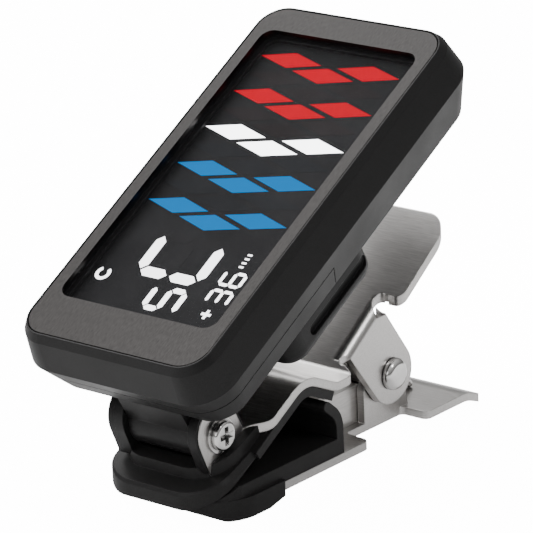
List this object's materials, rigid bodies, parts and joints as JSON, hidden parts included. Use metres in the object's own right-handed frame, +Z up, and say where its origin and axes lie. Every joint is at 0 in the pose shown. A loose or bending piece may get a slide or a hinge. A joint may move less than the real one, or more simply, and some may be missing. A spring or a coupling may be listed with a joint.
{
  "type": "clip on tuner",
  "caption": "Sprung steel clip with rubber-lined jaws, carrying a tilting rectangular display head on a friction hinge.",
  "frame": {"origin": "centre of the flat underside of the lower jaw's rubber sleeve, on the plane the tuner rests on", "axes": "+X towards the hinge screw's head, -Y towards the nose of the jaws, +Y towards the thumb tabs, +Z up"},
  "size_m": [0.0294, 0.0561, 0.0485],
  "materials": {
    "brushed_steel": "stainless sheet brushed along the clip, bright rounded edges",
    "plated_steel": "bright plated steel",
    "blackened_steel": "blackened screw steel",
    "spring_wire": "bright spring steel",
    "pad_rubber": "soft black rubber, satin",
    "black_nylon": "black nylon",
    "white_nylon": "natural nylon",
    "case_plastic": "satin black moulded plastic",
    "button_plastic": "matte black plastic",
    "dark_aluminium": "dark anodised, fine brushing across the face",
    "window": "smoked clear acrylic, glossy",
    "lcd_glass": "black negative liquid crystal glass",
    "light_guide": "white diffusing light guide",
    "solder_mask": "green solder mask",
    "chip_epoxy": "black epoxy",
    "brass_disc": "thin brass disc"
  },
  "bodies": {
    "lower_jaw": {"lower_plate": "brushed_steel", "lower_pad": "pad_rubber", "stop_bracket": "plated_steel", "pivot_pin": "plated_steel", "spring_bush": "white_nylon", "torsion_spring": "spring_wire"},
    "upper_jaw": {"upper_lever": "brushed_steel", "upper_pad": "pad_rubber", "friction_liners": "black_nylon", "hinge_screw": "plated_steel", "hinge_spring_washer": "plated_steel", "hinge_nut": "plated_steel", "nut_cover": "case_plastic"},
    "head": {"front_case": "case_plastic", "rear_cover": "case_plastic", "face_plate": "dark_aluminium", "display_window": "window", "lcd_panel": "lcd_glass", "backlight": "light_guide", "lcd_connector": "pad_rubber", "circuit_board": "solder_mask", "main_chip": "chip_epoxy", "tact_switches": "plated_steel", "battery_cell": "plated_steel", "battery_contact_negative": "spring_wire", "battery_contact_positive": "spring_wire", "piezo_sensor": "brass_disc", "battery_door": "case_plastic", "case_screws": "blackened_steel"},
    "power_key": {"power_button": "button_plastic"},
    "mode_key": {"mode_button": "button_plastic"}
  },
  "joints": [
    {"name": "jaw_open", "type": "hinge", "parent": "lower_jaw", "child": "upper_jaw", "pos_m": [0, 0.0296, 0.0073], "axis": [-1, 0, 0], "range_deg": [0, 32], "stiffness_Nm_per_rad": 0.15, "springref_deg": -45.84, "deforming": ["torsion_spring"]},
    {"name": "head_tilt", "type": "hinge", "parent": "upper_jaw", "child": "head", "pos_m": [0, -0.00126, 0.00956], "axis": [1, 0, 0], "range_deg": [-8, 55]},
    {"name": "power_press", "type": "slide", "parent": "head", "child": "power_key", "axis": [1, 0, 0], "range_m": [0, 0.0003], "stiffness_N_per_m": 1200, "springref_m": -0.0002},
    {"name": "mode_press", "type": "slide", "parent": "head", "child": "mode_key", "axis": [1, 0, 0], "range_m": [0, 0.0003], "stiffness_N_per_m": 1200, "springref_m": -0.0002}
  ]
}
